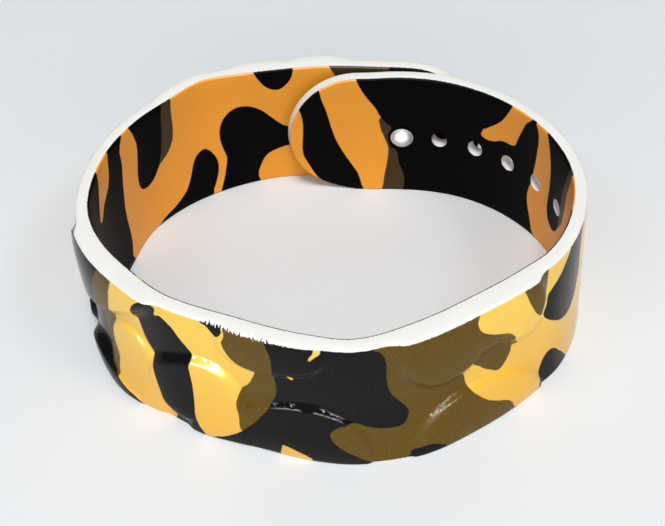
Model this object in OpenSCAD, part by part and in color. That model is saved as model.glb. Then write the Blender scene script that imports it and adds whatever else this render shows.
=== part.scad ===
// Adjustable silicone wristband, fastened and lying on its edge.
// One strap goes once round the wrist and its free end lies inside the other end.
// A metal stud in the outer end snaps into one of the size holes of the free end.

/* [Strap] */
// Width of the strap, which is also the height that it stands
strap_w = 22; // [21:0.5:23]
// Thickness of the plain wall
wall_t = 1.9; // [1.7:0.1:2.1]
// Height of the raised pads, as a share of the heights in the PADS table
relief = 1; // [0:0.1:1.2]

/* [Fastening] */
// Number of size holes in the free end
hole_n = 6; // [2:1:7]
// Height of a size hole, across the strap
hole_d = 2.9; // [2.7:0.1:3.2]
// Width of a size hole along the strap, as a share of its height
hole_share = 0.8; // [0.8:0.05:1]
// Distance from one size hole to the next
hole_pitch = 5.8; // [5:0.1:6]
// Direction of the stud from the middle of the loop, in degrees from +X
stud_a = 62; // [58:1:64]
// Diameter of the stud's neck
neck_d = 2; // [1.8:0.1:2]
// Diameter of the stud's domed head, on the inside
head_d = 3.4; // [3.3:0.1:3.9]
// Height of the domed head
head_h = 1.3; // [1:0.1:1.5]
// Diameter of the stud's flange, on the outside
flange_d = 8; // [7:0.5:9]
// Thickness of the flange at its edge
flange_t = 0.6; // [0.5:0.1:0.8]

/* [Hidden] */

// Loop of the strap seen from above, a row for each bend.
// Columns: angle from +X, radius of the inner face at the top, splay of the bottom edge,
// further flare of the bottom edge
LOOP = [
  [100, 24.9, 0.3, 0],
  [110, 25.7, 0.5, 0],
  [118, 26.9, 0, 0],
  [128, 28.8, -0.8, 0],
  [140, 29.3, 0.2, 0],
  [152, 30.5, 0.2, 0],
  [165, 31.5, -0.6, 0],
  [180, 31.9, -0.1, 0],
  [187, 31.6, 0.4, 0.1],
  [195, 30.6, 0.8, 0.7],
  [207, 28.7, 1, 1.55],
  [219, 27.3, 0.8, 0.75],
  [230, 25.7, 0.5, 1.5],
  [239, 24.8, 0.5, 1.3],
  [250, 24.6, 0.5, 0.95],
  [262, 25, 0.5, 1],
  [274, 25.8, 0.6, 0.9],
  [290, 25.4, 1.2, 1.5],
  [304, 25.6, 1.6, 1.15],
  [314, 26.4, 1.7, 1],
  [325, 28.1, 1.7, 0.6],
  [334, 30, 1.5, 0.4],
  [346, 31.3, 1.2, 0.2],
  [360, 31.9, 1, 0],
  [374, 31.1, 0.8, 0],
  [388, 29.4, 0.4, 0],
  [401, 27.4, 0, 0],
  [412, 25.6, -0.4, 0],
  [422, 23.9, -0.5, 0],
  [434, 22.1, -0.2, 0],
  [446, 21.6, 0, 0],
  [465, 21.6, 0, 0]
];

// Where the outer end lies behind the free end.
// Columns: angle from +X, gap between the two layers
LAYERS = [
  [41, 0.3],
  [50, 0.3],
  [62, 0.3],
  [72, 0.7],
  [82, 1],
  [91, 1.2]
];

// Raised pads on the outer face, laid out on the flat strap.
// Columns: distance from the outer end, height of the middle, half length, half height,
// turn in degrees, rise
PADS = [
  [24.5, 22, 5.5, 7.5, 0, 1.3],
  [33.5, 21.5, 5, 8, 0, 1.1],
  [28, 1, 8, 9, 8, 1],
  [45.5, 20, 5, 6, 0, 0.6],
  [43, 3, 6, 8.5, -12, 0.9],
  [56, 11, 6, 7, 20, 0.8],
  [58, -3, 8, 6.5, 0, 1],
  [69.5, 3.6, 6.2, 3.2, -12, 1.1],
  [82.3, 20.2, 13, 6.1, 36, 1.25],
  [82.6, -1.2, 7.8, 5.5, -8, 1.5],
  [88, 5, 5, 8.5, 8, 0.8],
  [97.4, 7.6, 6.9, 6.6, 24, 1.3],
  [101, 1.5, 4.6, 6.5, 0, 1.2],
  [107.8, 20.2, 7.4, 5.4, 10, 0.5],
  [110.8, 1.6, 9.4, 8.3, 15, 1],
  [128.4, 23, 6.9, 12.6, 13.5, 1.3],
  [134.5, 22, 11.5, 8.6, 0, 1.3],
  [141.3, 21, 4.4, 9.2, 0, 1.3],
  [134.4, -2.6, 10.1, 11, -9, 1.1]
];

// Height of the middle of the strap
mid_z = strap_w / 2;
// Radius of the strap's rounded ends
end_r = strap_w / 2;
// Share of a pad's rise that its edge steps up at once
edge_share = 0.55;
// How far in from a pad's outline the step reaches, as a share of the way to its middle
edge_reach = 0.2;
// Shares of a pad's rise that are lost at the strap's bottom and top edges, and the distance
// from the middle of the strap at which that begins
bottom_fade = 0.65;
top_fade = 0.25;
fade_from = 6.5;
// Roundness of a pad's outline: 2 is an ellipse, more is squarer
pad_power = 2.5;
// Depth of the flat seat for the flange below the outer face
seat_depth = 0.5;
// Play between the stud's flange and its seat, all round
play = 0.06;
// Play under the stud's head
head_play = 0.18;
// Play of the stud's neck in its own bore
neck_play = 0.1;
// Height of the low crown on the flange
crown_h = 0.3;
// How far a cutting cylinder reaches past the face that it opens
over = 1;
// How far the stud's parts run into each other
bite = 0.1;
// Number of rows of points across the outer face
rows_n = 20;
// Spacing of the sections along the straight part of the strap
section_pitch = 1.25;
// Directions of the sections round the strap's round ends
END_STEPS = [5, 17, 29, 41, 53, 65, 77];
// Step of the table of lengths along the strap, in degrees
length_step = 2;
$fn = 48;

// Columns of the tables
RADIUS = 1;
SPLAY = 2;
FLARE = 3;
GAP = 1;

// Smooth curve through column c of a table whose first column is the angle
function slope(t, i, c) =
  let (a = max(i - 1, 0), b = min(i + 1, len(t) - 1))
  (t[b][c] - t[a][c]) / (t[b][0] - t[a][0]);

function row_at(t, a, i = 0) =
  (i >= len(t) - 2 || a < t[i + 1][0]) ? i : row_at(t, a, i + 1);

function smooth(t, a, c) =
  let (
    i = row_at(t, a),
    h = t[i + 1][0] - t[i][0],
    s = (a - t[i][0]) / h,
    m0 = slope(t, i, c) * h,
    m1 = slope(t, i + 1, c) * h
  )
  t[i][c] * (1 + 2 * s) * pow(1 - s, 2) + m0 * s * pow(1 - s, 2)
    + t[i + 1][c] * s * s * (3 - 2 * s) + m1 * s * s * (s - 1);

// How much further it is through the wall along the radius than straight through
function slant(a) =
  let (change = (smooth(LOOP, a + 1, RADIUS) - smooth(LOOP, a - 1, RADIUS)) / 2 * 180 / PI)
  norm([1, change / smooth(LOOP, a, RADIUS)]);

// The outer end follows the free end, a wall and a gap further out
function behind(row) =
  let (
    a = row[0] + 360,
    r = smooth(LOOP, a, RADIUS) + (wall_t + row[GAP]) * slant(a)
  )
  [row[0], r, smooth(LOOP, a, SPLAY), smooth(LOOP, a, FLARE)];

COURSE = concat([for (row = LAYERS) behind(row)], LOOP);
first_a = LAYERS[0][0];
last_a = LOOP[len(LOOP) - 1][0];

// A point on the inner face, and the direction out of the strap there.
// The splay leans the wall evenly and the flare curves its lower half outwards.
function inner_r(a, z) =
  smooth(COURSE, a, RADIUS) + smooth(COURSE, a, SPLAY) * (1 - z / strap_w)
    + smooth(COURSE, a, FLARE) * pow(max(0, 1 - z / mid_z), 2);

function inner(a, z) = [cos(a), sin(a)] * inner_r(a, z);

function outward(a, z) =
  let (d = inner(a + 0.5, z) - inner(a - 0.5, z))
  [d[1], -d[0]] / norm(d);

function face(a, z, off) = let (p = inner(a, z) + outward(a, z) * off) [p[0], p[1], z];

// Length of the strap up to each angle, along the middle of its wall
function middle(a) = face(a, mid_z, wall_t / 2);

LENGTHS = [
  for (
    a = first_a, s = 0;
    a <= last_a;
    s = s + norm(middle(a + length_step) - middle(a)),
    a = a + length_step
  ) [s, a]
];
strap_l = LENGTHS[len(LENGTHS) - 1][0];
ANGLES = [for (row = LENGTHS) [row[1], row[0]]];
function angle_at(u) = lookup(u, LENGTHS);
function length_at(a) = lookup(a, ANGLES);

// Rise of one pad: a step at its edge, then a low dome
function pad_rise(u, z, pad) =
  let (
    du = u - pad[0],
    dz = z - pad[1],
    turn = pad[4],
    x = (du * cos(turn) + dz * sin(turn)) / pad[2],
    y = (dz * cos(turn) - du * sin(turn)) / pad[3],
    inside = 1 - pow(abs(x), pad_power) - pow(abs(y), pad_power),
    step = min(inside / edge_reach, 1)
  )
  inside <= 0 ? 0 : pad[5] * (edge_share * step + (1 - edge_share) * inside);

// Share of the rise that is left at a height: the pads run out towards both edges
function run_out(z) =
  1 - (z < mid_z ? bottom_fade : top_fade)
    * pow(max(0, abs(z - mid_z) - fade_from) / (mid_z - fade_from), 2);

function rise(u, z) =
  relief * run_out(z) * max([for (p = PADS) pad_rise(u, z, p)]);

// Sections along the strap, closer together round its ends
CAP = [for (e = END_STEPS) end_r * (1 - cos(e))];
straight_l = strap_l - 2 * end_r;
straight_n = round(straight_l / section_pitch);
SECTIONS = concat(
  CAP,
  [for (i = [0:straight_n]) end_r + straight_l * i / straight_n],
  [for (i = [len(CAP) - 1:-1:0]) strap_l - CAP[i]]
);

// Half of the strap's width, less where an end is round
function half_w(u) =
  let (e = max(end_r - u, u - (strap_l - end_r), 0))
  sqrt(end_r * end_r - e * e);

// One closed section: up the inner face and down the outer one
function section(u) =
  let (a = angle_at(u), w = half_w(u))
  concat(
    [face(a, mid_z - w, 0), face(a, mid_z + w, 0)],
    [
      for (j = [rows_n - 1:-1:0])
        let (z = mid_z + w * (2 * j / (rows_n - 1) - 1))
        face(a, z, wall_t + rise(u, z))
    ]
  );

// The part stands centred on its own outline
POINTS = [for (u = SECTIONS) each section(u)];
XS = [for (p = POINTS) p[0]];
YS = [for (p = POINTS) p[1]];
centre = [max(XS) + min(XS), max(YS) + min(YS), 0] / 2;

module strap_solid() {
  m = rows_n + 2;
  n = len(SECTIONS);
  sides = [
    for (i = [0:n - 2])
      for (j = [0:m - 1])
        let (k = (j + 1) % m, a = i * m + j, b = i * m + k, c = a + m, d = b + m)
        each [[a, b, d], [a, d, c]]
  ];
  ends = [
    [for (j = [m - 1:-1:0]) j],
    [for (j = [0:m - 1]) (n - 1) * m + j]
  ];
  polyhedron(points = POINTS, faces = concat(sides, ends), convexity = 10);
}

// Puts its children on the inner face at an angle, with +Z pointing out of the strap
module on_strap(a) {
  p = face(a, mid_z, 0);
  out = outward(a, mid_z);
  tilt = atan(smooth(COURSE, a, SPLAY) / strap_w);
  translate(p) rotate([0, 90 - tilt, atan2(out[1], out[0])]) children();
}

// Distances along the stud, from the inner face of the free end outwards
stud_at = stud_a + 360;
stud_gap = smooth(LAYERS, stud_a, GAP);
outer_face = 2 * wall_t + stud_gap;
seat = outer_face - seat_depth;
between = wall_t + stud_gap / 2;
first_hole = length_at(stud_at);

module band() {
  color("orange")
  difference() {
    strap_solid();
    for (k = [0:hole_n - 1])
      on_strap(angle_at(first_hole - k * hole_pitch))
        translate([0, 0, -over]) scale([1, hole_share, 1])
          cylinder(d = hole_d, h = over + between);
    on_strap(stud_at) {
      translate([0, 0, between])
        cylinder(d = neck_d + 2 * neck_play, h = outer_face - between + over);
      translate([0, 0, seat]) cylinder(d = flange_d + 4 * play, h = seat_depth + over);
    }
  }
}

// A slice of a ball, flat side down, as wide as d and as high as h
module dome(d, h) {
  ball_r = (pow(d / 2, 2) + pow(h, 2)) / (2 * h);
  intersection() {
    translate([0, 0, h - ball_r]) sphere(r = ball_r, $fn = 240);
    cylinder(d = d, h = h + bite);
  }
}

// Domed head inside the loop, neck through both layers, and a crowned flange outside
module stud() {
  flange_at = seat + play;
  color("silver")
  on_strap(stud_at)
  union() {
    translate([0, 0, -head_play]) rotate([180, 0, 0]) dome(head_d, head_h);
    translate([0, 0, -head_play - bite])
      cylinder(d = neck_d, h = head_play + flange_at + 2 * bite);
    translate([0, 0, flange_at]) cylinder(d = flange_d, h = flange_t);
    translate([0, 0, flange_at + flange_t]) dome(flange_d, crown_h);
  }
}

translate(-centre) band();
translate(-centre) stud();
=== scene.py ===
# %% [markdown]
# # A printed silicone wristband
#
# The object is a one-size wristband moulded in white silicone rubber. One strap, 22 mm wide and
# about 1.9 mm thick, goes once round the wrist, and its free end lies inside the other end. A
# small nickel-plated stud in the outer end snaps into one of six holes in the free end. Raised
# pads with crisp edges run along the outer face, and both faces carry a camouflage print in
# orange, black and olive, while the cut edges stay white.
#
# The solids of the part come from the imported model. This file dresses them: it replaces the
# strap with a finer skin that carries the print, replaces the stud with a turned one, and adds
# a floor, soft lights and the camera. Lengths are written in millimetres and turned to metres
# when a mesh is made.

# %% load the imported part
import math

import bmesh
import bpy
import numpy as np
from mathutils import Matrix, Vector


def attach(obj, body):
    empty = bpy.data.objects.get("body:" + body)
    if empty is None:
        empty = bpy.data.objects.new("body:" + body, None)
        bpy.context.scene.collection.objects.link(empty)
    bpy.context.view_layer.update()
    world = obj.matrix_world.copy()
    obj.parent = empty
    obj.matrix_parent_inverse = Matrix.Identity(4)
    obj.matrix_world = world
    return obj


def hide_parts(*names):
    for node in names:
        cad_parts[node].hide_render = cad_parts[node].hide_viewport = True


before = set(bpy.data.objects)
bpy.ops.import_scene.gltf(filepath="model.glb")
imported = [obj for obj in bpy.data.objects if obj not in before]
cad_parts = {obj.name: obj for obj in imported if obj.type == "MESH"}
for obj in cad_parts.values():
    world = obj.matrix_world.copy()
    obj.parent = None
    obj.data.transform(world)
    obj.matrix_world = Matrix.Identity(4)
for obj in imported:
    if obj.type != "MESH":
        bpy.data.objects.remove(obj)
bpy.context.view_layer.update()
MM = 0.001
print("nodes:", sorted(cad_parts))

# %% [markdown]
# ## The camera
#
# The wristband lies on its edge and is seen from a little above, 48 degrees down, with the
# camera turned slightly about its own axis. A long lens from 18 cm away keeps the near side
# only a little larger than the far side, as in a product photograph. The picture is 665 by 526
# pixels, so the focal length in pixels turns into millimetres on a 36 mm wide sensor.

# %% camera
CAMERA_AT = Vector((-0.257, -115.317, 136.41)) * MM
LOOK_DOWN = math.radians(48.16)
ROLL = math.radians(-2.84)
FOCAL_PX, PICTURE_W, SENSOR_W = 1232.0, 665, 36.0


def aimed(down, roll):
    """Rotation of a camera that faces +Y, looks down by one angle and then rolls by another.

    A camera at rest looks along -Z, so it is first turned up to the horizon about X."""
    turn = Matrix.Rotation(math.pi / 2 - down, 4, "X")
    return turn @ Matrix.Rotation(roll, 4, "Z")


camera_data = bpy.data.cameras.new("camera")
camera_data.sensor_width = SENSOR_W
camera_data.lens = FOCAL_PX * SENSOR_W / PICTURE_W
camera_data.clip_start = 0.01
camera = bpy.data.objects.new("camera", camera_data)
camera.matrix_world = Matrix.Translation(CAMERA_AT) @ aimed(LOOK_DOWN, ROLL)
bpy.context.scene.collection.objects.link(camera)
bpy.context.scene.camera = camera
print("lens", round(camera_data.lens, 2), "mm")

# %% [markdown]
# ## The path of the strap
#
# Seen from above, a fastened strap is a spiral: its radius grows slowly as it goes round, so
# that the outer end clears the free end. A table of radii at chosen angles with a smooth curve
# through it gives such a free shape with few numbers, and it is easy to correct bend by bend.
# A circle or an ellipse would miss the flat and bulging stretches that soft rubber takes.

# %% sizes of the strap
STRAP_W = 22.0
WALL_T = 1.9
MID_Z = STRAP_W / 2
END_R = STRAP_W / 2
CENTRE = np.array([0.0164, -0.8164])  # of the part's outline, which the part stands on

# angle from +X, radius of the inner face at the top, splay and flare of the bottom edge
RADIUS, SPLAY, FLARE = 1, 2, 3
LOOP = np.array([
    [100, 24.9, 0.3, 0], [110, 25.7, 0.5, 0], [118, 26.9, 0, 0], [128, 28.8, -0.8, 0],
    [140, 29.3, 0.2, 0], [152, 30.5, 0.2, 0], [165, 31.5, -0.6, 0], [180, 31.9, -0.1, 0],
    [187, 31.6, 0.4, 0.1], [195, 30.6, 0.8, 0.7], [207, 28.7, 1, 1.55], [219, 27.3, 0.8, 0.75],
    [230, 25.7, 0.5, 1.5], [239, 24.8, 0.5, 1.3], [250, 24.6, 0.5, 0.95], [262, 25, 0.5, 1],
    [274, 25.8, 0.6, 0.9], [290, 25.4, 1.2, 1.5], [304, 25.6, 1.6, 1.15], [314, 26.4, 1.7, 1],
    [325, 28.1, 1.7, 0.6], [334, 30, 1.5, 0.4], [346, 31.3, 1.2, 0.2], [360, 31.9, 1, 0],
    [374, 31.1, 0.8, 0], [388, 29.4, 0.4, 0], [401, 27.4, 0, 0], [412, 25.6, -0.4, 0],
    [422, 23.9, -0.5, 0], [434, 22.1, -0.2, 0], [446, 21.6, 0, 0], [465, 21.6, 0, 0],
])
# angle from +X, gap between the outer end and the free end behind which it lies
GAP = 1
LAYERS = np.array([[41, 0.3], [50, 0.3], [62, 0.3], [72, 0.7], [82, 1], [91, 1.2]])


# %% smooth curve through a table
def smooth(table, angle, column):
    """Value of one column at any angle, by a cubic between rows.

    Between two rows the curve is the Hermite cubic that has the rows' values and slopes, and
    the slope at a row is the slope of the straight line between its two neighbours."""
    x, y = table[:, 0], table[:, column]
    slope = np.empty_like(y)
    slope[1:-1] = (y[2:] - y[:-2]) / (x[2:] - x[:-2])
    slope[0] = (y[1] - y[0]) / (x[1] - x[0])
    slope[-1] = (y[-1] - y[-2]) / (x[-1] - x[-2])
    i = np.clip(np.searchsorted(x, angle, side="right") - 1, 0, len(x) - 2)
    h = x[i + 1] - x[i]
    s = (angle - x[i]) / h
    return (y[i] * (1 + 2 * s) * (1 - s) ** 2 + slope[i] * h * s * (1 - s) ** 2
            + y[i + 1] * s * s * (3 - 2 * s) + slope[i + 1] * h * s * s * (s - 1))


def slant(angle):
    """How much longer the way through the wall is along the radius than straight through.

    It is the square root of 1 plus the square of the radius's change per radian over the radius."""
    per_degree = (smooth(LOOP, angle + 1, RADIUS) - smooth(LOOP, angle - 1, RADIUS)) / 2
    return np.hypot(1, per_degree * 180 / np.pi / smooth(LOOP, angle, RADIUS))


once_round = LAYERS[:, 0] + 360
behind = smooth(LOOP, once_round, RADIUS) + (WALL_T + LAYERS[:, GAP]) * slant(once_round)
outer_end = np.stack([LAYERS[:, 0], behind, smooth(LOOP, once_round, SPLAY),
                      smooth(LOOP, once_round, FLARE)], axis=1)
COURSE = np.vstack([outer_end, LOOP])
print("course of the strap:", COURSE[0, 0], "to", COURSE[-1, 0], "degrees")


# %% points on and above the inner face
def inner_face(angle, z):
    """Point of the inner face in plan: the radius at the top plus splay and flare further down.

    With d the share of the way down, the radius grows by splay times d. Below the middle it
    grows by flare times e^2 as well, with e the share of the way down from there."""
    radius = (smooth(COURSE, angle, RADIUS) + smooth(COURSE, angle, SPLAY) * (1 - z / STRAP_W)
              + smooth(COURSE, angle, FLARE) * np.maximum(0, 1 - z / MID_Z) ** 2)
    turn = np.radians(angle)
    return np.stack([radius * np.cos(turn), radius * np.sin(turn)], axis=-1)


def out_of_strap(angle, z):
    """Unit direction out of the strap: the plan direction of the strap turned by 90 degrees."""
    along = inner_face(angle + 0.5, z) - inner_face(angle - 0.5, z)
    out = np.stack([along[..., 1], -along[..., 0]], axis=-1)
    return out / np.linalg.norm(out, axis=-1, keepdims=True)


def face(angle, z, depth):
    """Point at a height z and at a depth measured outwards from the inner face."""
    plan = inner_face(angle, z) + out_of_strap(angle, z) * depth[..., None] - CENTRE
    return np.concatenate([plan, z[..., None]], axis=-1)


# %% length along the strap
angles = np.arange(COURSE[0, 0], COURSE[-1, 0] + 1, 2.0)
middle = face(angles, np.full_like(angles, MID_Z), np.full_like(angles, WALL_T / 2))
steps = np.linalg.norm(np.diff(middle, axis=0), axis=1)
lengths = np.concatenate([[0], np.cumsum(steps)])
STRAP_L = lengths[-1]
print("strap length", round(STRAP_L, 2), "mm")


def on_strap(u, z, depth):
    """Point of the strap from its length u from the outer end, its height and its depth."""
    return face(np.interp(u, lengths, angles), z, depth)


# %% [markdown]
# ## The raised pads
#
# The mould gives the outer face a row of low pads like overlapping scales or leaves. Each one
# steps up sharply at its outline and then swells into a low dome. One formula draws them all:
# a squarish ellipse whose height is a step near the outline plus a dome over the rest. Where
# two pads overlap, the higher one shows, as it does in the mould.

# %% the pads, laid out on the flat strap
# distance from the outer end, height of the middle, half length, half height, turn, rise
PADS = np.array([
    [24.5, 22, 5.5, 7.5, 0, 1.3], [33.5, 21.5, 5, 8, 0, 1.1], [28, 1, 8, 9, 8, 1],
    [45.5, 20, 5, 6, 0, 0.6], [43, 3, 6, 8.5, -12, 0.9], [56, 11, 6, 7, 20, 0.8],
    [58, -3, 8, 6.5, 0, 1], [69.5, 3.6, 6.2, 3.2, -12, 1.1], [82.3, 19.6, 13, 6.5, 35.5, 1.25],
    [82.6, -1.2, 7.8, 5.5, -8, 1.5], [88, 5, 5, 8.5, 8, 0.8], [97.4, 7.6, 6.9, 6.6, 24, 1.3],
    [101, 1.5, 4.6, 6.5, 0, 1.2], [107.8, 20.2, 7.4, 5.4, 10, 0.5], [110.8, 1.6, 9.4, 8.3, 15, 1],
    [128.4, 23, 6.9, 12.6, 13.5, 1.3], [134.5, 22, 11.5, 8.6, 0, 1.3],
    [141.3, 21, 4.4, 9.2, 0, 1.3], [134.4, -2.6, 10.1, 11, -9, 1.1],
])
RISE = PADS[:, 5][:, None]
EDGE_SHARE = 0.7  # of the rise, the rest is dome
ROUNDNESS, BEVEL_POWER = 2.5, 1.2
# width of a shoulder as shares of the rise, and what it gains towards the top, in millimetres
SHOULDER, UNDERSIDE = np.full(len(PADS), 0.9), 1.0
SHOULDER[[14, 18]] = 0.6  # the two lowest pads at the front have steep shoulders
SOFT_FROM, SOFT_BY = 17.0, np.full(len(PADS), 3.5)
SOFT_BY[8] = 0.5  # the pad at the left keeps its edge up to the top
# shares of the rise lost at the two edges, and how far from the middle that begins
BOTTOM_FADE, TOP_FADE, FADE_FROM = 0.65, 0.25, 6.5


def pad_field(u, z):
    """For every pad: how far inside it each place is, in millimetres, and as a share, and the
    directions in which the share falls fastest.

    x and y are the distances from a pad's middle as shares of its half sizes, in the pad's own
    directions. The share inside is 1 minus both to the power of the roundness: 1 in the middle,
    0 on the outline. The distance is the share over the length of its gradient."""
    mid_u, mid_z, half_l, half_h, turn, _ = PADS.T[:, :, None]
    du, dz, turn = u - mid_u, z - mid_z, np.radians(turn)
    x = (du * np.cos(turn) + dz * np.sin(turn)) / half_l
    y = (dz * np.cos(turn) - du * np.sin(turn)) / half_h
    share = 1 - np.abs(x) ** ROUNDNESS - np.abs(y) ** ROUNDNESS
    down_x = ROUNDNESS * np.sign(x) * np.abs(x) ** (ROUNDNESS - 1) / half_l
    down_y = ROUNDNESS * np.sign(y) * np.abs(y) ** (ROUNDNESS - 1) / half_h
    length = np.maximum(np.hypot(down_x, down_y), 0.001)
    down_u = (down_x * np.cos(turn) - down_y * np.sin(turn)) / length
    down_z = (down_x * np.sin(turn) + down_y * np.cos(turn)) / length
    return share / length, share, down_u, down_z


def pad_heights(distance, share, down_z, z):
    """Height of each pad: a shoulder at its outline and a low dome over the rest.

    The shoulder's width is a fixed share of the pad's rise, and more where the outline faces
    down. With t the distance inside over that width, the shoulder is 1 - (1 - t)^1.2, a flat
    bevel whose upper end is rounded. Towards the top edge it widens and turns into the slower
    curve t^2 (3 - 2t). Towards both edges the pads lose a share of their rise, by the square of
    the way from where that begins."""
    top = np.clip((z - SOFT_FROM) / (STRAP_W - SOFT_FROM), 0, 1) ** 2
    slower = SHOULDER[:, None] + UNDERSIDE * np.maximum(0, -down_z)
    width = slower * RISE + SOFT_BY[:, None] * top
    t = np.clip(distance / width, 0, 1)
    crisp, slow = 1 - (1 - t) ** BEVEL_POWER, t * t * (3 - 2 * t)
    shoulder = crisp + top * (slow - crisp)
    fade = np.where(z < MID_Z, BOTTOM_FADE, TOP_FADE)
    way = np.maximum(0, np.abs(z - MID_Z) - FADE_FROM) / (MID_Z - FADE_FROM)
    rise = RISE * (1 - fade * way ** 2)
    return rise * (EDGE_SHARE * shoulder + (1 - EDGE_SHARE) * np.maximum(share, 0))


def pad_rise(u, z):
    """Height of the pads above the plain outer face: the highest pad wins."""
    flat_u, flat_z = np.ravel(u), np.ravel(z)
    distance, share, _, down_z = pad_field(flat_u, flat_z)
    return pad_heights(distance, share, down_z, flat_z).max(axis=0).reshape(np.shape(u))


def onto_outlines(u, z, reach):
    """Moves the places that are within reach of a pad's visible outline on to it.

    This lets a crease run along the points of the grid, and not zigzag across its cells. An
    outline is visible where no other pad is higher than half of this pad's step."""
    flat_u, flat_z = u.ravel(), z.ravel()
    distance, share, down_u, down_z = pad_field(flat_u, flat_z)
    height = pad_heights(distance, share, down_z, flat_z)
    top = height.max(axis=0)
    hidden = (height < top) & (top > 0.5 * EDGE_SHARE * RISE)
    away = np.where(hidden, np.inf, np.abs(distance))
    nearest, every = away.argmin(axis=0), np.arange(len(flat_u))
    move = np.where(away.min(axis=0) < reach, distance[nearest, every], 0)
    return ((flat_u + move * down_u[nearest, every]).reshape(u.shape),
            (flat_z + move * down_z[nearest, every]).reshape(z.shape))


print(len(PADS), "pads")

# %% [markdown]
# ## One cross-section
#
# A cross-section of the strap is a long thin rectangle with slightly rounded corners, carried
# along the strap. Its points are named by how far across they are, how far they sit in from the
# outline, and how deep they lie. The outer side has many rows, so that the pads' edges stay
# crisp, and the inner side keeps every row only along the middle, where the holes are.

# %% points of one ring
CORNER_R = {"inner": 0.25, "outer": 0.45}
INK_OVER, RIM_BARE = 0.25, 1.5  # the ink's reach over a corner, and the rim's bare distance
ROWS = 80
HOLE_BLOCK, SEAT_BLOCK = 2.45, 4.75  # half sizes of the blocks that a hole and the seat take
across = np.linspace(-1, 1, ROWS + 1)
row_at = across * (END_R - CORNER_R["outer"])
inner_rows = np.flatnonzero((np.abs(row_at) < HOLE_BLOCK) | (np.arange(ROWS + 1) % 4 == 0))
round_off = np.radians([60, 30, 0])
outer_start = len(inner_rows) + 2 * len(round_off) + 1


def ring_points():
    """Columns: across, inset, lift from the face, side (0 inner, 0.5 rim, 1 outer), bare.

    The ring goes up the inner face, over the top edge, down the outer face and under the bottom
    edge. On a rounded corner the inset is r(1 - cos) and the lift is r(1 - sin) of an angle
    that falls from 90 degrees on the face to 0 on the edge. Bare is the way along the surface
    beyond the face's edge, negative on the face, which tells where the print ends. The print
    reaches a little over every corner but the outer one at the top."""
    def rows(t, side):
        inset = CORNER_R["outer" if side else "inner"]
        return np.stack([t, t * 0 + inset, t * 0, t * 0 + side, (np.abs(t) - 1) * END_R], axis=1)

    def corner(t, side, angle):
        one, r = np.ones_like(angle), CORNER_R["outer" if side else "inner"]
        beyond = r * (np.pi / 2 - angle) - (0 if side and t > 0 else INK_OVER)
        return np.stack([one * t, r * (1 - np.cos(angle)), r * (1 - np.sin(angle)),
                         one * side, beyond], axis=1)

    def rim(t):
        return np.array([[t, 0, 0, 0.5, RIM_BARE]])

    return np.vstack([
        rows(across[inner_rows], 0), corner(1, 0, round_off), rim(1),
        corner(1, 1, round_off[::-1]), rows(across[::-1], 1), corner(-1, 1, round_off), rim(-1),
        corner(-1, 0, round_off[::-1])])


RING = ring_points()
print("points in a ring:", len(RING))

# %% [markdown]
# ## The rings along the strap
#
# Both ends of the strap are half circles. A ring there is named by a direction that turns from
# 0 at the tip to 90 degrees where the straight part starts, and the same formula then serves
# the ends and the straight part alike.

# %% where the rings stand
PITCH, END_RINGS, CREASE_REACH = 0.32, 45, 0.13
straight = STRAP_L - 2 * END_R
end_turns = np.radians(np.linspace(0, 90, END_RINGS))
straight_at = np.linspace(END_R, STRAP_L - END_R, round(straight / PITCH))[1:-1]
ring_mid = np.concatenate([np.full(END_RINGS, END_R), straight_at,
                           np.full(END_RINGS, STRAP_L - END_R)])
ring_turn = np.concatenate([end_turns, np.full(len(straight_at), np.pi / 2),
                            end_turns + np.pi / 2])


def strap_grid():
    """Length u, height z, lift, side and bare distance of every ring point, as one grid.

    With r the end radius less the inset, u is the ring's middle less r times the cosine of its
    direction, and z is the strap's mid height plus across times r times the sine."""
    t, inset, lift, side, bare = RING.T
    r = END_R - inset[None, :]
    u = ring_mid[:, None] - r * np.cos(ring_turn)[:, None]
    z = MID_Z + t * r * np.sin(ring_turn)[:, None]
    return u, z, lift + 0 * u, side + 0 * u, bare + 0 * u


def depth_at(u, z, lift, side):
    """Depth of a ring point: lift on the inner side, wall and pads less lift on the outer."""
    full = WALL_T + pad_rise(u, z)
    return np.where(side == 0, lift, np.where(side == 1, full - lift, full / 2))


U, Z, LIFT, SIDE, BARE = strap_grid()
on_face = slice(outer_start + 1, outer_start + ROWS)
U[:, on_face], Z[:, on_face] = onto_outlines(U[:, on_face], Z[:, on_face], CREASE_REACH)
print("rings:", len(ring_mid), " grid points:", U.size)

# %% [markdown]
# ## The holes
#
# Six oval holes are punched through the free end, and the outer end has a bore for the stud
# with a flat seat round it. Cutting them with booleans would leave long thin triangles in a
# curved face. Here a block of cells is left out of the grid round each hole, and rings of
# points lead from the block's outline to the hole's lip, down its wall and out again on the
# other side, so that the faces stay even.

# %% sizes of the fastening
HOLE_N, HOLE_HALF, HOLE_PITCH = 6, (1.16, 1.45), 5.8  # half sizes along and across
STUD_ANGLE = 62.0
BORE_R, BORE_DEPTH, SEAT_R, SEAT_DEPTH = 1.1, 1.2, 4.12, 0.5
stud_gap = smooth(LAYERS, STUD_ANGLE, GAP)
SEAT_AT = 2 * WALL_T + stud_gap - SEAT_DEPTH
BORE_END = SEAT_AT - BORE_DEPTH
first_hole = np.interp(STUD_ANGLE + 360, angles, lengths)
print("first hole", round(float(first_hole), 2), "mm along, seat at", round(float(SEAT_AT), 2))


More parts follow.
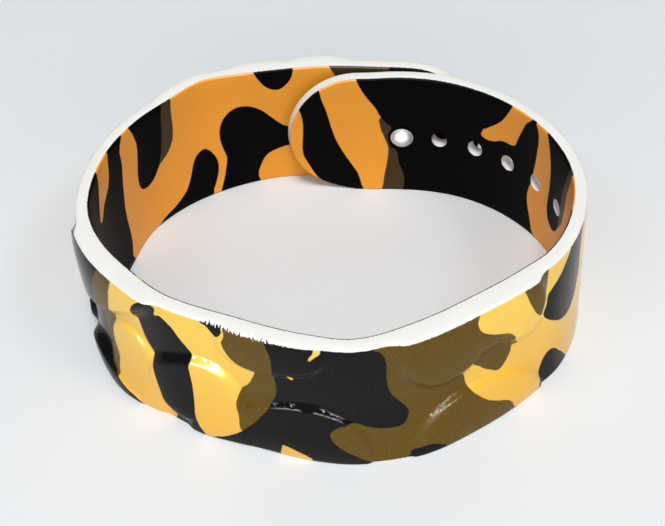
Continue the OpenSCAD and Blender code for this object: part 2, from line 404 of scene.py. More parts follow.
# %% directions at a hole
def hole_frame(angle):
    """Where a hole's axis crosses the inner face, and its three directions.

    They are along the strap, up across it and straight out of it. The last leans by the slope
    of the splay, and the second is the cross product of the other two."""
    at, mid = np.array([float(angle)]), np.array([MID_Z])
    out = out_of_strap(at, mid)[0]
    lean = np.arctan(smooth(COURSE, at, SPLAY)[0] / STRAP_W)
    axis = np.array([*(out * np.cos(lean)), np.sin(lean)])
    along = np.array([-out[1], out[0], 0])
    return face(at, mid, np.zeros(1))[0], along, np.cross(axis, along), axis


def lip(frame_at, middle_u, half, turn, side):
    """Length and height of the points of one face that lie on a hole's outline.

    The outline is an oval with half sizes along and across the strap. A first guess on the flat
    strap is corrected four times by how far it misses."""
    origin, along, up, _ = frame_at
    want_x, want_y = half[0] * np.cos(turn), half[1] * np.sin(turn)
    u, z = middle_u + want_x, MID_Z + want_y
    for _ in range(4):
        miss = on_strap(u, z, depth_at(u, z, 0, side)) - origin
        u, z = u + want_x - miss @ along, z + want_y - miss @ up
    return u, z


# %% the skin's points and faces, collected piece by piece
# a point's marks are its length, height, side and bare distance
ring_size = len(RING)
grid_ids = np.arange(U.size).reshape(U.shape)
inner_column = np.full(ROWS + 1, -1)
inner_column[inner_rows] = np.arange(len(inner_rows))
outer_column = outer_start + ROWS - np.arange(ROWS + 1)
points = [on_strap(U, Z, depth_at(U, Z, LIFT, SIDE)).reshape(-1, 3)]
marks = [np.stack([U, Z, SIDE, BARE], axis=-1).reshape(-1, 4)]
faces = []
kept = np.ones((len(ring_mid) - 1, ring_size), bool)


def add_ring(place, u, z, side, bare):
    """Adds a ring of points with their marks, and returns their numbers."""
    first = sum(len(p) for p in points)
    points.append(place)
    marks.append(np.stack([u, z, 0 * u + side, 0 * u + bare], axis=-1))
    return first + np.arange(len(place))


def join_rings(rings):
    """Adds a strip of four-sided faces between each ring of points and the next one."""
    for a, b in zip(rings[:-1], rings[1:]):
        faces.append(np.stack([a, np.roll(a, -1), np.roll(b, -1), b], axis=1))


def block_round(middle_u, reach, through):
    """Leaves a block of cells out round a hole and returns the grid places of its outline."""
    on_row = np.flatnonzero(np.abs(row_at) < reach)
    mid_u = U[:, outer_column[ROWS // 2]]
    on_ring = np.flatnonzero(np.abs(mid_u - middle_u) < reach)
    i0, i1, k0, k1 = on_ring[0], on_ring[-1], on_row[0], on_row[-1]
    if through:
        kept[i0:i1, inner_column[k0]:inner_column[k1]] = False
    kept[i0:i1, outer_column[k1]:outer_column[k0]] = False
    i = np.concatenate([np.full(k1 - k0, i0), np.arange(i0, i1),
                        np.full(k1 - k0, i1), np.arange(i1, i0, -1)])
    k = np.concatenate([np.arange(k0, k1), np.full(i1 - i0, k1),
                        np.arange(k1, k0, -1), np.full(i1 - i0, k0)])
    return i, k


# %% one hole in the strap
TO_LIP = (0.4, 0.75, 1)


def add_hole(frame_at, middle_u, reach, half, wall, through):
    """Rings from the block's outline on the outer face to the lip and down the hole.

    Wall lists the rings below the lip as a share of its size, distance along the axis, bare. A
    hole that goes through comes out with the same size on the inner face."""
    i, k = block_round(middle_u, reach, through)
    origin, along, up, axis = frame_at
    outer = (i, outer_column[k])
    turn = np.arctan2(Z[outer] - MID_Z, U[outer] - middle_u)
    rings = [grid_ids[outer]]

    def to_lip(place, side, shares):
        """Rings at shares of the way from the block's outline to the lip of one face."""
        lip_u, lip_z = lip(frame_at, middle_u, half, turn, side)
        for share in shares:
            u, z = U[place] + share * (lip_u - U[place]), Z[place] + share * (lip_z - Z[place])
            place_on = on_strap(u, z, depth_at(u, z, 0, side))
            rings.append(add_ring(place_on, u, z, side, share - 1))
        return lip_u, lip_z

    lip_u, lip_z = to_lip(outer, 1, TO_LIP)
    for share, height, bare in wall:
        oval = half[0] * np.cos(turn)[:, None] * along + half[1] * np.sin(turn)[:, None] * up
        rings.append(add_ring(origin + share * oval + height * axis, lip_u, lip_z, 1, bare))
    if through:
        inner = (i, inner_column[k])
        to_lip(inner, 0, TO_LIP[::-1])
        rings.append(grid_ids[inner])
    join_rings(rings)


for k in range(HOLE_N):
    at_u = first_hole - k * HOLE_PITCH
    add_hole(hole_frame(np.interp(at_u, lengths, angles)), at_u, HOLE_BLOCK, HOLE_HALF,
             [(1, WALL_T / 2, WALL_T / 2)], True)
stud_frame = hole_frame(STUD_ANGLE + 360)
bore = BORE_R / SEAT_R
halfway = 0.65  # a ring on the flat of the seat, about halfway between its rim and the bore
seat_wall = [(1, SEAT_AT, 1), (halfway, SEAT_AT, 2), (bore, SEAT_AT, 3), (bore, BORE_END, 3),
             (0, BORE_END, 3)]
add_hole(stud_frame, np.interp(STUD_ANGLE, angles, lengths), SEAT_BLOCK, (SEAT_R, SEAT_R),
         seat_wall, False)
print("holes:", HOLE_N, "and one stud seat")

# %% the rest of the grid
left = grid_ids[:-1][kept]
right = grid_ids[1:][kept]
left_next = np.roll(grid_ids, -1, axis=1)[:-1][kept]
right_next = np.roll(grid_ids, -1, axis=1)[1:][kept]
faces.append(np.stack([left, left_next, right_next, right], axis=1))
all_points = np.vstack(points) * MM
all_marks = np.vstack(marks)
all_faces = np.vstack(faces)
used, renumbered = np.unique(all_faces, return_inverse=True)
all_points, all_marks = all_points[used], all_marks[used]
all_faces = renumbered.reshape(all_faces.shape)
print("points:", len(all_points), " four-sided faces:", len(all_faces))

# %% [markdown]
# ## The camouflage print
#
# The print is laid on the flat strap with stencils before it is curved: patches of black and
# olive-brown on an orange ground, with wavy outlines. An image would be the usual way. Here
# each patch is a closed smooth curve through a few given points, in millimetres along and
# across the strap, and every point of the skin stores how far it lies inside the nearest
# patch. The material only has to ask where that distance passes zero, so the outlines stay
# sharp at any size. Stencils are used again further along the strap, as a printed film repeats.

# %% the stencils: face, ink, places where it is used, outline as length and height
# a place is a shift along the strap and whether the stencil is flipped across it there, and a
# window is an opening in the black ink
HERE = [(0, False)]
ROUND = [(0, False), (-90, True), (90, False)]
INSIDE = [(0, False), (46, True), (94, False)]
STENCILS = [
    ("outer", "black", HERE, [
        (68, 24), (66.5, 18), (67.5, 12), (70, 7), (69.5, 3), (72, -2), (90, -2), (88.6, 1),
        (87.2, 1.8), (85.6, 2.7), (84.6, 3.4), (83.4, 3.9), (82.3, 4.5), (81.8, 6), (80.8, 9),
        (81.5, 12.5), (81, 15), (82, 19), (82.5, 24)]),
    ("outer", "olive", ROUND, [
        (79, 24), (85.7, 24), (85.3, 19), (84.7, 16), (84.2, 13), (84, 10), (84.4, 8),
        (85.2, 6.4), (85.3, 4.4), (85.4, 2.4), (82, 3.5), (79, 4.5)]),
    ("outer", "black", ROUND, [
        (89.1, 17.4), (89.4, 19), (90.1, 20.6), (91.2, 21.7), (92.2, 21.9), (92.8, 21),
        (92.6, 20), (92.5, 19.3), (93.4, 19.9), (94.9, 18.6), (95.8, 17), (97, 15.2),
        (97.4, 14.3), (97.2, 13), (97.4, 11), (97.6, 7), (97.8, 4), (98.3, 2), (99, 0.6),
        (99.5, -2), (94, -2), (94.6, 0.8), (93.8, 2.3), (93.1, 4.2), (92.5, 6.6), (92, 9.1),
        (91.7, 11.3), (90.6, 13.1), (89.9, 15), (89.6, 16.4)]),
    ("outer", "black", ROUND, [
        (98.8, 24), (98.9, 21.8), (99.9, 21), (100.5, 20.1), (101.1, 19.7), (101.6, 20.1),
        (102, 20.8), (102.2, 22), (102.2, 24)]),
    ("outer", "olive", ROUND, [
        (102.6, 24), (102.4, 20.6), (101.9, 19), (102.4, 17.4), (103.1, 16.3), (104.5, 15.2),
        (105.8, 14.7), (105.4, 13.1), (104.7, 11.6), (103.9, 10.6), (103.4, 8.8), (103.4, 7.4),
        (103.6, 5.6), (103.9, 3.5), (106, 3), (110, 6), (110, 12), (110, 18), (110, 24)]),
    ("outer", "black", ROUND, [
        (108.4, 24), (108.4, 18.4), (108.4, 15), (108.6, 12.7), (108.4, 10.9), (107.7, 9.1),
        (106.8, 7.4), (105.6, 5.4), (104.3, 3.8), (103, 2.5), (101.5, 1.3), (100, 0.4),
        (98.5, -2), (120, -2), (119.9, 0.6), (119, 1.5), (117.7, 2.7), (116.3, 4.1),
        (115.5, 5.4), (115.4, 6.6), (116.3, 7.7), (117.4, 8.1), (118.4, 7.7), (119.9, 6.8),
        (121.3, 6.2), (122.7, 5.9), (123.8, 5.9), (124.5, 6.6), (124.8, 8.1), (124.3, 9.5),
        (123.4, 10.9), (122.5, 12.7), (122.1, 14.5), (122, 16.5), (122, 18.4), (121.7, 19.9),
        (121.2, 20.9), (120.4, 21.6), (119.5, 24)]),
    ("outer", "window", ROUND, [
        (112.9, 19.5), (113.3, 19.8), (113.9, 20.5), (114.5, 21.2), (114.7, 24), (114, 24),
        (113.7, 21.3), (113.2, 20.4)]),
    ("outer", "window", ROUND, [
        (110.3, 15.9), (110.7, 15.7), (110.9, 15), (110.6, 14.9), (110.2, 15.3)]),
    ("outer", "window", ROUND, [
        (109.2, -2), (109.2, 2.1), (109.8, 2.5), (111.3, 1.8), (113, 0.6), (114.5, -2)]),
    ("outer", "black", ROUND, [
        (119, -2), (119.5, 0.3), (121, 0.2), (124.3, 0.4), (125, 1.4), (126, 2), (127.3, 1.9),
        (128.4, 1.2), (129.4, 0), (130, -2)]),
    ("outer", "olive", ROUND, [
        (118, 24), (133.5, 24), (133.8, 20.5), (134.4, 18.8), (135.8, 17.5), (137.4, 16.5),
        (138.6, 15.8), (139.5, 14.7), (140, 13.1), (140.8, 11.5), (139.9, 11.7), (139.7, 10.6),
        (139.1, 9.5), (138.3, 8.5), (137.5, 8.3), (136.6, 9), (135.6, 9.9), (134.9, 10.8),
        (134.1, 11.6), (133.4, 12.3), (132.2, 11.9), (132.5, 10.6), (132.7, 9.1), (133.1, 8.1),
        (134.1, 6.6), (135.2, 5.2), (136.6, 4.1), (137.7, 3.4), (138.6, 2.4), (139, 0.9),
        (139, -2), (114.6, -2), (114.3, 5), (114.5, 9), (118, 14)]),
    ("outer", "olive", ROUND, [
        (140.9, 24), (141.4, 20.5), (142.2, 18.1), (142.9, 16.5), (143.8, 15.5), (144.7, 15.6),
        (145.3, 16.6), (145.6, 18.4), (145.7, 20.3), (145.6, 24)]),
    ("outer", "black", ROUND, [
        (151, 24), (150.3, 21.4), (149.1, 19.9), (148.1, 18.8), (146.8, 17.7), (145.9, 16.8),
        (145.7, 15.2), (145.2, 13.6), (145.9, 12.2), (147.4, 10.6), (148.8, 9.5), (150.2, 9.1),
        (151.6, 9.3), (152.9, 10.2), (153.6, 11.6), (154.3, 13.5), (154.3, 17), (154.6, 20),
        (155.5, 24)]),
    ("outer", "black", ROUND, [
        (143, -2), (143.6, 0.5), (144.2, 3), (144.9, 4.5), (145.7, 5.4), (146.6, 5.6),
        (147.5, 4.9), (148.4, 3.4), (149.3, 2), (150.6, -2)]),
    ("inner", "black", HERE, [
        (-2, 24), (13.5, 24), (13.2, 20), (11, 16), (8.5, 11), (10.5, 5), (9, -2), (-2, -2)]),
    ("inner", "olive", HERE, [(13, 24), (13.5, 20), (17, 18), (21, 19), (22.8, 24)]),
    ("inner", "black", INSIDE, [
        (28, 24), (28.3, 22), (28.8, 20.1), (30, 18.7), (31.1, 18.3), (32.5, 18.9), (33.4, 20.1),
        (34.3, 22), (34.6, 24)]),
    ("inner", "black", INSIDE, [
        (28.5, 9), (29, 10.5), (30.5, 11.3), (32.1, 13), (33.6, 14.7), (35.2, 15.7), (36.7, 16),
        (38.2, 15.5), (39.6, 14.1), (40.3, 12.4), (40.5, 10.5), (40.2, 8.5), (39.8, 6.6),
        (40.2, 4.7), (40.7, 2.8), (41.3, 1.2), (41.8, -2), (35, -2), (35, 1.6), (34.4, 3.5),
        (33.6, 5.1), (32.5, 6), (30.5, 6.8), (29, 7.3)]),
    ("inner", "black", INSIDE, [
        (43.5, 9.8), (42.6, 9.1), (41.8, 7.8), (41.4, 6.2), (41.5, 4.7), (42.1, 2.8), (43, 0.9),
        (44, -2), (55, -2), (53.2, 0.4), (50.5, 1.4), (49, 2.2), (47.7, 3.3), (46.9, 4.7),
        (46.3, 6.2), (45.7, 8), (44.8, 9.3)]),
    ("inner", "olive", INSIDE, [
        (48, 24), (48.1, 19.7), (48.2, 17), (48.6, 14.7), (49.8, 12.8), (51.3, 11.8), (52.5, 11),
        (52, 16), (52, 24)]),
    ("inner", "black", INSIDE, [
        (50, 24), (50.1, 19), (50.5, 15.8), (51.1, 13.2), (51.9, 11.4), (52.6, 10.3), (53.4, 9.6),
        (54.6, 9.3), (55.7, 9.7), (56.3, 10.8), (56.3, 12.8), (55.9, 14.7), (55.5, 16.6),
        (55.3, 18.5), (55.7, 20.5), (56.2, 24)]),
    ("inner", "black", [(0, False), (46, True)], [
        (59.5, 24), (59.1, 19.7), (59.2, 17.4), (59.8, 15), (60.3, 12.8), (60.8, 10.5), (61, 8.1),
        (61, 5.8), (61.2, 3.5), (61.9, 1.6), (63, -2), (82, -2), (80, 5), (79, 12), (80, 18),
        (82, 24)]),
    ("inner", "window", [(0, False), (46, True)], [
        (61.6, 24), (62.3, 20.1), (62.8, 18.5), (63.6, 17.3), (65, 16.5), (66.2, 16),
        (67.6, 14.9), (68.9, 14.6), (68.6, 15.6), (67.3, 18), (66, 20.5), (65.3, 24)]),
    ("inner", "black", HERE, [
        (96, 24), (98, 20.5), (104, 18), (112, 19), (120, 20.2), (128, 18.5), (137, 17.5),
        (146, 19.8), (152, 20.5), (155, 24)]),
    ("inner", "olive", HERE, [
        (163.2, 24), (164, 19.7), (165, 17), (165.4, 14.3), (165.8, 12), (166.2, 10), (167, 8.5),
        (168, 8), (168, 24)]),
    ("inner", "black", HERE, [
        (164.6, 24), (165.4, 20.2), (166.8, 16), (167.3, 11.2), (167.4, 8.2), (168.2, 6.3),
        (169.4, 5.7), (170.7, 6.8), (171.1, 9.1), (170.9, 12.4), (170.9, 16.3), (171.6, 19.6),
        (172.4, 21.8), (173.2, 24)]),
    ("inner", "black", HERE, [
        (176.6, 27), (175.9, 24), (175.1, 21.9), (174.4, 20.4), (174.3, 19), (174.4, 17.4),
        (174.6, 15), (174.9, 12.8), (175.2, 10.5), (175.7, 8.5), (175.8, 6.6), (175.4, 4.7),
        (174.8, 2.8), (174.4, 0.9), (174.2, -2), (197.1, -2), (197, 0.4), (196.9, 2.1),
        (197.2, 3.8), (197.9, 5.8), (198.2, 8.1),
        (199.3, 9.1), (199.7, 11.3), (199.1, 12.7), (200, 13.7), (200.9, 15.1), (201.5, 16.6),
        (202.5, 18.2), (203.5, 20.1), (204.2, 22), (204.6, 24), (204.8, 27)]),
    ("inner", "window", HERE, [
        (176.4, 24), (176, 22.4), (176.3, 21.6), (177.2, 20.5), (178, 18.3), (178.5, 16.8),
        (179.1, 15.1), (181.2, 14.8), (182.7, 14), (183.8, 13.7), (184.8, 14), (185.2, 14.8),
        (184.2, 15.8), (182.7, 17.2), (181.5, 18.7), (180.6, 20.5), (180, 22), (179.8, 24)]),
    ("inner", "olive", HERE, [
        (196, -2), (200.4, -2), (200.3, 1.6), (200.1, 3.5), (199.8, 5.5), (199.6, 7.4),
        (199.6, 8.9), (200.2, 10.9), (200.8, 12.8), (200.9, 14.9), (199, 14), (196.5, 8)]),
    ("inner", "black", HERE, [
        (210.2, 20.6), (209.4, 18.2), (208.8, 16.2), (208.4, 14.3), (208, 12.4), (207.5, 10.5),
        (206.7, 8.5), (206, 7), (205, 5.1), (204.2, 3.5), (203.8, 1.6), (203.3, -2), (208, -2),
        (208.8, 0.8), (210, 2), (210.8, 3.2), (211.5, 4.7), (212.1, 6.2), (212.7, 7.8),
        (212.8, 9.5), (212.6, 12), (212.5, 14), (212.7, 16), (213.2, 17.5), (213.8, 20)]),
]
print(len(STENCILS), "stencils")


# %% distance inside a patch
PER_CORNER = 6


def smooth_outline(corners, shift, flip):
    """Closed curve through the corners, with six points from each corner to the next.

    Between two corners it is the Catmull-Rom cubic, whose slope at a corner is half the way
    from the corner before to the corner after. A flipped outline is mirrored across."""
    p1 = np.array(corners, float)
    if flip:
        p1[:, 1] = STRAP_W - p1[:, 1]
    p0, p2, p3 = (np.roll(p1, by, axis=0) for by in (1, -1, -2))
    s = np.arange(PER_CORNER)[None, :, None] / PER_CORNER
    a, b, c = 2 * p0 - 5 * p1 + 4 * p2 - p3, 3 * p1 - 3 * p2 + p3 - p0, p2 - p0
    curve = p1[:, None] + 0.5 * (c[:, None] * s + a[:, None] * s ** 2 + b[:, None] * s ** 3)
    return curve.reshape(-1, 2) + [shift, 0]


def inside_by(place, outline):
    """Distance from each place to an outline, positive inside and negative outside.

    The distance is to the nearest point of any side. A place is inside if a line from it along
    the strap crosses the outline an odd number of times."""
    a, b = outline, np.roll(outline, -1, axis=0)
    side, to_place = b - a, place[:, None] - a
    share = np.clip((to_place * side).sum(-1) / (side * side).sum(-1), 0, 1)
    nearest = np.linalg.norm(to_place - share[..., None] * side, axis=-1).min(axis=1)
    spans = (a[:, 1] > place[:, None, 1]) != (b[:, 1] > place[:, None, 1])
    rise = np.where(side[:, 1] == 0, 1, side[:, 1])
    cross_at = a[:, 0] + to_place[..., 1] / rise * side[:, 0]
    odd = (spans & (place[:, None, 0] < cross_at)).sum(axis=1) % 2 == 1
    return np.where(odd, nearest, -nearest)


# %% the print at every point of the skin
FAR = 2.0
outside = all_marks[:, 2] > 0  # the rim counts as outside


def print_field(wanted):
    """Distance inside the nearest patch of the wanted ink, no less than minus FAR.

    Only the points within FAR of a patch are worked out, and the largest distance is kept."""
    place = all_marks[:, :2]
    field = np.full(len(place), -FAR)
    for which_face, which_ink, copies, corners in STENCILS:
        for shift, flip in (copies if which_ink == wanted else []):
            outline = smooth_outline(corners, shift, flip)
            low, high = outline.min(axis=0) - FAR, outline.max(axis=0) + FAR
            near = ((place > low) & (place < high)).all(axis=1)
            near &= outside == (which_face == "outer")
            if near.any():
                field[near] = np.maximum(field[near], inside_by(place[near], outline))
    return field


black = np.minimum(print_field("black"), -print_field("window"))
olive = print_field("olive")
print("share of black", round(float((black > 0).mean()), 2),
      "olive", round(float(((olive > 0) & (black <= 0)).mean()), 2))

# %% [markdown]
# ## From arrays to a mesh
#
# The points, the faces and the stored distances go into a mesh in a few calls. At the two tips
# all rows meet in one point, so doubles are merged there, and the faces are then turned to
# point outwards. Edges sharper than 40 degrees stay sharp, which keeps the holes crisp.

# %% helpers for meshes
SHARP, SAME_PLACE = math.radians(40), 1e-6


def mesh_object(name, place, corners):
    """A new object at the origin with the given points in metres and faces, shaded smooth."""
    mesh = bpy.data.meshes.new(name)
    mesh.from_pydata(place.tolist(), [], corners.tolist())
    mesh.shade_smooth()
    obj = bpy.data.objects.new(name, mesh)
    bpy.context.scene.collection.objects.link(obj)
    return obj


def close_up(obj):
    """Merges points that coincide, turns the faces outwards and marks the sharp edges."""
    bm = bmesh.new()
    bm.from_mesh(obj.data)
    bmesh.ops.remove_doubles(bm, verts=bm.verts, dist=SAME_PLACE)
    bmesh.ops.recalc_face_normals(bm, faces=bm.faces)
    open_edges = sum(1 for e in bm.edges if not e.is_manifold)
    bm.to_mesh(obj.data)
    triangles = sum(len(f.verts) - 2 for f in bm.faces)
    volume = bm.calc_volume(signed=True) / MM ** 3
    bm.free()
    obj.data.set_sharp_from_angle(angle=SHARP)
    print(obj.name, triangles, "triangles, open edges", open_edges, "volume", round(volume), "mm3")
    return obj


# %% the printed strap
# the upper edge is worn by e to the power of minus (distance from its middle over reach)^6
WORN_AT, WORN_BY = 104, 6.3
length, height, _, bare = all_marks.T
worn_edge = np.exp(-np.abs((length - WORN_AT) / WORN_BY) ** 6) * (outside & (height > MID_Z))
strap = mesh_object("printed_strap", all_points, all_faces)
SKIN_VALUES = {"black_ink": black, "olive_ink": olive, "bare": bare, "outer_face": outside,
               "worn_edge": worn_edge, "length": length}
for name, values in SKIN_VALUES.items():
    layer = strap.data.attributes.new(name, "FLOAT", "POINT")
    layer.data.foreach_set("value", values.astype(np.float32))
close_up(strap)
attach(strap, "root")
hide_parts("band")

# %% [markdown]
# ## The stud
#
# The fastening is a snap stud of nickel-plated brass: a domed head inside the loop, a neck
# through both layers and a broad flange outside. Such parts are pressed and turned, so one
# profile spun about an axis makes the whole piece, with small rounds where a tool leaves them.

# %% profile of the stud: radius, distance along the axis from the inner face outwards
# its edges are rounded by 0.1 to 0.15 mm, with two or three points each
HEAD_R, HEAD_H, HEAD_PLAY, NECK_R = 1.7, 1.3, 0.18, 1.0
FLANGE_R, FLANGE_T, FLANGE_PLAY, CROWN_H = 4.0, 0.6, 0.06, 0.3
flange_at = SEAT_AT + FLANGE_PLAY


def cap_arc(radius, height, count):
    """Slice of a ball from its tip to its rim: radii and depths below the tip.

    The ball's radius is (radius squared plus height squared) over twice the height."""
    ball = (radius ** 2 + height ** 2) / (2 * height)
    turn = np.linspace(0, math.asin(radius / ball), count)
    return np.stack([ball * np.sin(turn), ball * (1 - np.cos(turn))], axis=1)


head_low = cap_arc(HEAD_R - 0.1, HEAD_H - 0.12, 16) + [0, -HEAD_PLAY - HEAD_H]
head_rim = np.array([[HEAD_R - 0.03, -HEAD_PLAY - 0.16], [HEAD_R, -HEAD_PLAY - 0.1],
                     [HEAD_R - 0.03, -HEAD_PLAY - 0.03], [HEAD_R - 0.1, -HEAD_PLAY]])
neck = np.array([[NECK_R + 0.1, -HEAD_PLAY], [NECK_R, -HEAD_PLAY + 0.1],
                 [NECK_R, flange_at - 0.02], [NECK_R + 0.05, flange_at]])
flange_rim = np.array([[FLANGE_R - 0.12, flange_at], [FLANGE_R - 0.03, flange_at + 0.04],
                       [FLANGE_R, flange_at + 0.12], [FLANGE_R, flange_at + FLANGE_T - 0.15],
                       [FLANGE_R - 0.05, flange_at + FLANGE_T - 0.04]])
crown = cap_arc(FLANGE_R - 0.15, CROWN_H, 14)[::-1] * [1, -1]
crown = crown + [0, flange_at + FLANGE_T + CROWN_H]
PROFILE = np.vstack([head_low, head_rim, neck, flange_rim, crown])
print("profile points:", len(PROFILE))


# %% the stud spun about its axis
def spun(profile, count, origin, across_a, across_b, axis):
    """Surface of a profile spun about an axis: origin + r(a cos + b sin) + height times axis."""
    turn = np.arange(count) * 2 * np.pi / count
    circle = np.cos(turn)[:, None] * across_a + np.sin(turn)[:, None] * across_b
    place = origin + profile[:, 0, None, None] * circle + profile[:, 1, None, None] * axis
    ids = np.arange(len(profile) * count).reshape(len(profile), count)
    nxt = np.roll(ids, -1, axis=1)
    corners = np.stack([ids[:-1], nxt[:-1], nxt[1:], ids[1:]], axis=-1).reshape(-1, 4)
    return place.reshape(-1, 3), corners


STUD_SIDES = 96
stud_place, stud_corners = spun(PROFILE, STUD_SIDES, *stud_frame)
stud = close_up(mesh_object("snap_stud", stud_place * MM, stud_corners))
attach(stud, "root")
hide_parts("stud")

# %% [markdown]
# ## Materials
#
# Silicone rubber has an index of refraction near 1.4. Moulded in a polished tool and then
# printed, it has a smooth gloss on the outer face, less of it on the black and olive inks, and
# it is duller inside. The white body shows wherever the print ends: on the cut edges, in the
# holes, and in ragged strokes along a stretch of the upper edge where the print is rubbed off.

# %% colours and nodes
def ink(hex_code):
    """An sRGB hex colour as linear numbers with full cover.

    Below 0.04045 a channel is divided by 12.92, and above it is ((c + 0.055) / 1.055) ^ 2.4."""
    srgb = np.array([int(hex_code[i:i + 2], 16) / 255 for i in (1, 3, 5)])
    linear = np.where(srgb <= 0.04045, srgb / 12.92, ((srgb + 0.055) / 1.055) ** 2.4)
    return (*linear.tolist(), 1.0)


def add(tree, kind, inputs=None, output=0, **settings):
    """Adds a shader node of a kind with its settings and links, and returns one of its outputs.

    Inputs are named or numbered, and each is either an output to link to or a plain value."""
    node = tree.nodes.new("ShaderNode" + kind)
    for name, value in settings.items():
        setattr(node, name, value)
    for name, value in (inputs or {}).items():
        if isinstance(value, bpy.types.NodeSocket):
            tree.links.new(value, node.inputs[name])
        else:
            node.inputs[name].default_value = value
    return node.outputs[output] if node.outputs else None


def new_material(name):
    """An empty node material, and the tree to build it in."""
    material = bpy.data.materials.new(name)
    material.use_nodes = True
    material.node_tree.nodes.clear()
    return material, material.node_tree


# %% the inks, in the order in which they are printed
# for the inside of the loop and for the outside: what its tones follow, two tones and the gloss
INKS = {
    # outside, the orange's two tones follow the height: a darker, more orange tone low down and a
    # lighter yellow one high up, a painted shade
    "orange": (("clouds", "#f8a62c", "#f09c24", 0.35), ("height", "#e2ab3b", "#efc24a", 0.5)),
    "olive": (("speckle", "#453316", "#38290f", 0.2), ("speckle", "#675019", "#533f12", 0.11)),
    "black": (("speckle", "#060606", "#060606", 0.03), ("blotches", "#0e0d0f", "#151316", 0.1)),
}
WHITE = ink("#e2e1de")
ROUGH_INSIDE, ROUGH_OUTSIDE, ROUGH_BLACK = 0.35, 0.18, 0.12
GRAINS_PER_MM = {"clouds": 0.12, "edge": 4.0, "blotches": 5.0, "skin": 6.0, "speckle": 8.0}
STROKES_PER_MM, STROKE_REACH = (3.6, 0.9, 1), 1.9  # along and across, and how far they reach
# how far the edge of each patch wanders, and the distances between which it fades in
EDGES = {"olive": (0.12, -0.06, 0.06), "black": (0.12, -0.06, 0.06), "white": (0.25, 0.06, 0.18)}


# %% printed silicone rubber
def printed_silicone():
    """Glossy silicone: orange, olive and black inks by stored distance, white where it is bare.

    A share rises from 0 to 1 as the stored distance, moved a little by fine noise, crosses
    zero. Orange covers the whole strap, and each later ink is mixed over it by its share. Noise
    that is stretched across the strap is added to the bare distance along the worn stretch,
    which gives its strokes. The grains of the inks are drawn an eighth to a fifth of a
    millimetre wide, so that they show."""
    material, tree = new_material("printed_silicone_rubber")
    where = add(tree, "TexCoord", output="Object")
    stored = {name: add(tree, "Attribute", output="Fac", attribute_name=name)
              for name in SKIN_VALUES}
    noise = {name: add(tree, "TexNoise", {"Vector": where, "Scale": per_mm / MM,
                                          "Detail": 1.0 if name == "clouds" else 2.0})
             for name, per_mm in GRAINS_PER_MM.items()}
    height = add(tree, "SeparateXYZ", {0: where}, "Z")
    along = add(tree, "CombineXYZ", {0: stored["length"], 1: stored["bare"]})
    strokes = add(tree, "Mapping", {"Vector": along, "Scale": STROKES_PER_MM})
    teeth = add(tree, "TexNoise", {"Vector": strokes, "Scale": 1.0, "Detail": 1.0})
    teeth = add(tree, "Math", {0: teeth, 1: 0.5}, operation="SUBTRACT")
    reach = add(tree, "Math", {0: stored["worn_edge"], 1: STROKE_REACH}, operation="MULTIPLY")
    worn = add(tree, "Math", {0: teeth, 1: reach, 2: stored["bare"]}, operation="MULTIPLY_ADD")
    uneven = add(tree, "Math", {0: noise["edge"], 1: 0.5}, operation="SUBTRACT")

    # the height ramp blends the outer orange from its darker low tone below 2 mm to its lighter
    # high tone above 18 mm, painted shade that darkens towards the bottom
    ramps = {"height": (height, 2 * MM, 18 * MM), "speckle": (noise["speckle"], 0.35, 0.65),
             "blotches": (noise["blotches"], 0.4, 0.7)}
    patches = {"olive": stored["olive_ink"], "black": stored["black_ink"], "white": worn}
    for name, (wander, low, high) in EDGES.items():
        ramps[name] = (add(tree, "Math", {0: uneven, 1: wander, 2: patches[name]},
                           operation="MULTIPLY_ADD"), low, high)
    share = {name: add(tree, "MapRange", {"Value": value, "From Min": low, "From Max": high},
                       interpolation_type="SMOOTHSTEP")
             for name, (value, low, high) in ramps.items()}
    share["clouds"], share["orange"] = noise["clouds"], 1.0

    colour, gloss, outer = WHITE, 0.0, stored["outer_face"]
    for name, sides in INKS.items():
        tones = [add(tree, "Mix", {0: share[follows], 6: ink(low), 7: ink(high)}, 2,
                     data_type="RGBA") for follows, low, high, _ in sides]
        tone = add(tree, "Mix", {0: outer, 6: tones[0], 7: tones[1]}, 2, data_type="RGBA")
        shine = add(tree, "Mix", {0: outer, 2: sides[0][3], 3: sides[1][3]})
        colour = add(tree, "Mix", {0: share[name], 6: colour, 7: tone}, 2, data_type="RGBA")
        gloss = add(tree, "Mix", {0: share[name], 2: gloss, 3: shine})
    colour = add(tree, "Mix", {0: share["white"], 6: colour, 7: WHITE}, 2, data_type="RGBA")
    rough = add(tree, "Mix", {0: share["black"], 2: ROUGH_OUTSIDE, 3: ROUGH_BLACK})
    rough = add(tree, "Mix", {0: outer, 2: ROUGH_INSIDE, 3: rough})
    skin = add(tree, "Bump", {"Height": noise["skin"], "Strength": 0.2, "Distance": 0.02 * MM})
    surface = add(tree, "BsdfPrincipled", {"Base Color": colour, "Roughness": rough, "IOR": 1.4,
                                           "Specular IOR Level": gloss, "Normal": skin})
    add(tree, "OutputMaterial", {"Surface": surface})
    return material


strap.data.materials.append(printed_silicone())
print("material:", strap.data.materials[0].name)

# %% [markdown]
# The stud is brass with a nickel plating that has gone satin. Nickel is a silvery metal, and
# handling leaves fine scratches that only show as a wide, soft spread of the reflection.

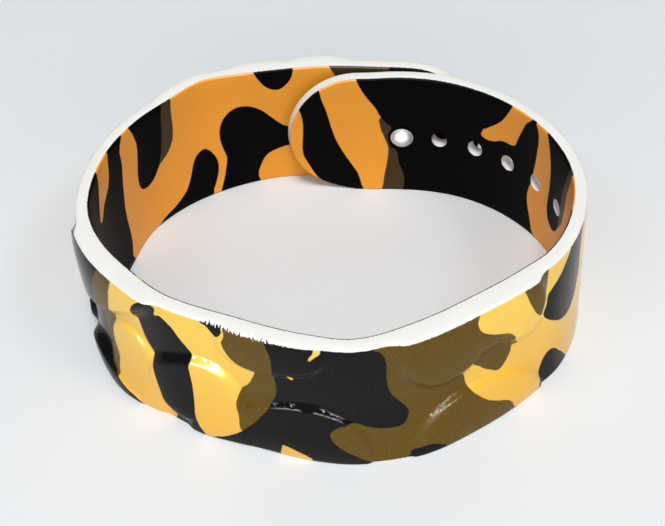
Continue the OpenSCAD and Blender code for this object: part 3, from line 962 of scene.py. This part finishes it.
# %% nickel plating
def nickel_plate():
    """Satin nickel whose roughness varies a little, with fine marks in its surface.

    The marks are 0.4 mm apart, coarser than on the real stud, so that they show at all."""
    material, tree = new_material("nickel_plated_brass")
    where = add(tree, "TexCoord", output="Object")
    scuffs = add(tree, "TexNoise", {"Vector": where, "Scale": 2.5 / MM, "Detail": 4.0})
    rough = add(tree, "MapRange", {"Value": scuffs, "To Min": 0.5, "To Max": 0.65})
    marks = add(tree, "Bump", {"Height": scuffs, "Strength": 0.1, "Distance": 0.01 * MM})
    surface = add(tree, "BsdfPrincipled", {"Base Color": ink("#9fa2a1"), "Metallic": 1.0,
                                           "Roughness": rough, "Normal": marks})
    add(tree, "OutputMaterial", {"Surface": surface})
    return material


stud.data.materials.append(nickel_plate())
print("material:", stud.data.materials[0].name)

# %% [markdown]
# ## Floor and light
#
# The wristband lies on a pale, nearly white sweep in soft light. The floor is a plain matt sheet
# with its top at the height on which the wristband stands. A strong lamp above the front lights
# the floor and the inner faces, and weaker ones at both sides, behind and low in front fill in.
# A wide low panel and a narrow strip add only their reflections: they give the long white
# highlights on the glossy pads and leave the matt colours alone.

# %% floor
def floor_paper():
    """Matt off-white paper with a trace of mottling."""
    material, tree = new_material("matt_white_paper")
    where = add(tree, "TexCoord", output="Object")
    mottle = add(tree, "TexNoise", {"Vector": where, "Scale": 30.0, "Detail": 1.0})
    tone = add(tree, "Mix", {0: mottle, 6: ink("#d6d9db"), 7: ink("#d9dbde")}, 2,
               data_type="RGBA")
    surface = add(tree, "BsdfPrincipled", {"Base Color": tone, "Roughness": 0.7})
    add(tree, "OutputMaterial", {"Surface": surface})
    return material


FLOOR_HALF = 1.5
floor_corners = np.array([[-1, -1, 0], [1, -1, 0], [1, 1, 0], [-1, 1, 0]]) * FLOOR_HALF
floor = mesh_object("floor", floor_corners, np.array([[0, 1, 2, 3]]))
floor.data.materials.append(floor_paper())


# %% lamps
def lamp(name, direction, distance, width, height, watts, only_gloss):
    """A white soft lamp, aimed at the middle of the wristband.

    Its direction is an angle from +X and an angle above the floor in degrees, and the rest is
    in metres. A lamp for gloss alone shows in reflections and adds no light to matt colour."""
    data = bpy.data.lights.new(name, "AREA")
    data.shape = "RECTANGLE"
    data.size, data.size_y = width, height
    data.energy = watts
    turn, above = np.radians(direction)
    out = Vector((np.cos(above) * np.cos(turn), np.cos(above) * np.sin(turn), np.sin(above)))
    aim = (-out).to_track_quat("-Z", "Y").to_matrix().to_4x4()
    obj = bpy.data.objects.new(name, data)
    obj.matrix_world = Matrix.Translation(Vector((0, 0, MID_Z * MM)) + out * distance) @ aim
    obj.visible_diffuse = not only_gloss
    bpy.context.scene.collection.objects.link(obj)


# name, direction, distance, width, height, watts, for gloss alone
LAMPS = [
    ("overhead_lamp", (-90, 68), 1.19, 0.3, 0.3, 11.4, False),
    ("left_lamp", (-151, 55), 0.91, 0.2, 0.2, 0.6, False),
    ("right_lamp", (-29, 55), 0.91, 0.2, 0.2, 1.2, False),
    ("back_lamp", (90, 54), 0.86, 0.3, 0.3, 0.3, False),
    ("front_lamp", (-90, 31), 0.62, 0.9, 0.05, 0.8, False),
    ("gloss_panel", (-102, 19), 0.6, 1.08, 0.3, 9.0, True),
    ("gloss_strip", (-102, 25), 0.6, 1.0, 0.02, 16.0, True),
]
for row in LAMPS:
    lamp(*row)
print(len(LAMPS), "lamps")

# %% the room's own light, and plain colours in the picture
world = bpy.data.worlds.new("pale_room")
world.use_nodes = True
world.node_tree.nodes["Background"].inputs["Color"].default_value = ink("#eef1f4")
world.node_tree.nodes["Background"].inputs["Strength"].default_value = 0.15
bpy.context.scene.world = world
bpy.context.scene.view_settings.view_transform = "Standard"
